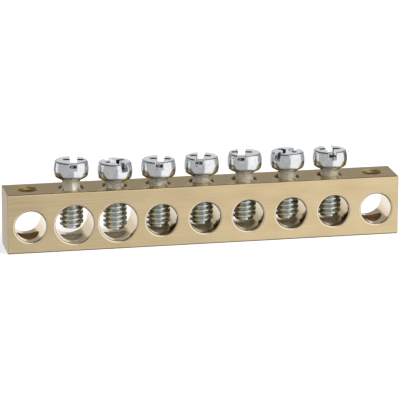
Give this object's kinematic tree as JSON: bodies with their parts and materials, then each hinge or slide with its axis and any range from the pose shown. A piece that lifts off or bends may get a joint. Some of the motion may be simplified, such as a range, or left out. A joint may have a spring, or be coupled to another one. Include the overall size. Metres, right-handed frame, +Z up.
{
  "type": "earth terminal bar",
  "caption": "Brass bar cross-drilled for wires, with a slotted clamping screw over each wire hole, to join protective earth wires.",
  "frame": {"origin": "middle of the bar's underside", "axes": "+X along the bar from the end with the large wire holes, -Y out of the front face, +Z up towards the screw heads"},
  "size_m": [0.066, 0.007, 0.0147],
  "materials": {
    "bar_brass": "drawn satin brass with sawn ends and bright bored holes",
    "screw_steel": "bright zinc plating"
  },
  "bodies": {
    "bar": {"bar": "bar_brass"},
    "screw_1": {"terminal_screw_1": "screw_steel"},
    "screw_2": {"terminal_screw_2": "screw_steel"},
    "screw_3": {"terminal_screw_3": "screw_steel"},
    "screw_4": {"terminal_screw_4": "screw_steel"},
    "screw_5": {"terminal_screw_5": "screw_steel"},
    "screw_6": {"terminal_screw_6": "screw_steel"},
    "screw_7": {"terminal_screw_7": "screw_steel"}
  },
  "joints": [
    {"name": "screw_1_travel", "type": "slide", "parent": "bar", "child": "screw_1", "axis": [0, 0, 1], "range_m": [-0.0016, 0.0044]},
    {"name": "screw_2_travel", "type": "slide", "parent": "bar", "child": "screw_2", "axis": [0, 0, 1], "range_m": [-0.001, 0.005]},
    {"name": "screw_3_travel", "type": "slide", "parent": "bar", "child": "screw_3", "axis": [0, 0, 1], "range_m": [-0.0003, 0.00435]},
    {"name": "screw_4_travel", "type": "slide", "parent": "bar", "child": "screw_4", "axis": [0, 0, 1], "range_m": [-0.00045, 0.0042]},
    {"name": "screw_5_travel", "type": "slide", "parent": "bar", "child": "screw_5", "axis": [0, 0, 1], "range_m": [-0.0007, 0.00395]},
    {"name": "screw_6_travel", "type": "slide", "parent": "bar", "child": "screw_6", "axis": [0, 0, 1], "range_m": [-0.0006, 0.00405]},
    {"name": "screw_7_travel", "type": "slide", "parent": "bar", "child": "screw_7", "axis": [0, 0, 1], "range_m": [-0.00055, 0.0041]}
  ]
}
